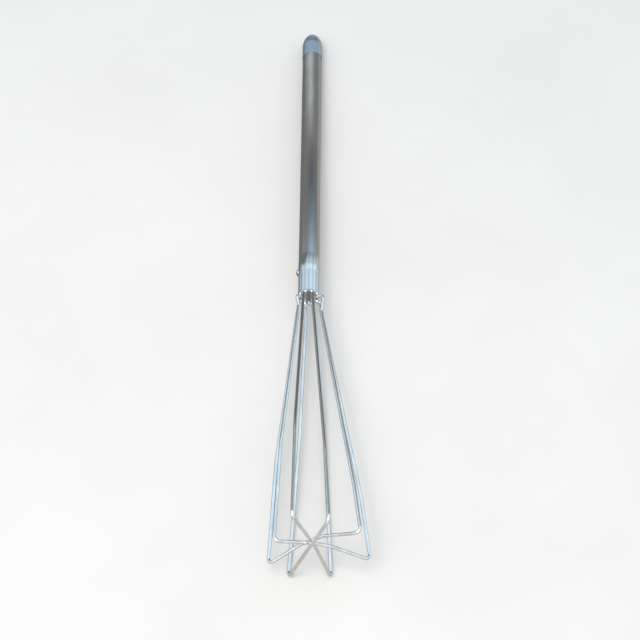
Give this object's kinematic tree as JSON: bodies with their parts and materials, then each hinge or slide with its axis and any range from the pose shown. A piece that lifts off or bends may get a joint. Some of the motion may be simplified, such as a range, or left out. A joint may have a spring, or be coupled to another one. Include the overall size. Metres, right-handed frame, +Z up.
{
  "type": "hand mixing whisk",
  "caption": "Hand whisk for mixing paint and plaster, with a round steel tube handle, a bullet-shaped end plug and a flaring cage of bent wire loops that cross at the base.",
  "frame": {"origin": "on the bench (Z = 0), under the centre of the whole object's box", "axes": "the whisk lies as it rests on a bench: +Y runs from the wire cage to the domed end of the handle, +Z is up from the bench and +X is to the right seen from the cage end. The handle's axis dips about 3.1 degrees towards the domed end"},
  "size_m": [0.0826, 0.5994, 0.0823],
  "materials": {
    "tube_steel": "bright drawn tube with faint length-wise grain and light scuffs",
    "plug_steel": "smooth satin with faint turning rings",
    "core_steel": "plain turned steel, hidden",
    "rivet_steel": "satin with a slightly worn crown",
    "wire_steel": "bright zinc-plated wire with faint drawing lines and dull patches at the bends"
  },
  "bodies": {
    "root": {"handle_tube": "tube_steel", "end_plug": "plug_steel", "core_plug": "core_steel", "rivet": "rivet_steel", "wire_loop_1": "wire_steel", "wire_loop_2": "wire_steel", "wire_loop_3": "wire_steel", "wire_loop_4": "wire_steel"}
  },
  "joints": []
}
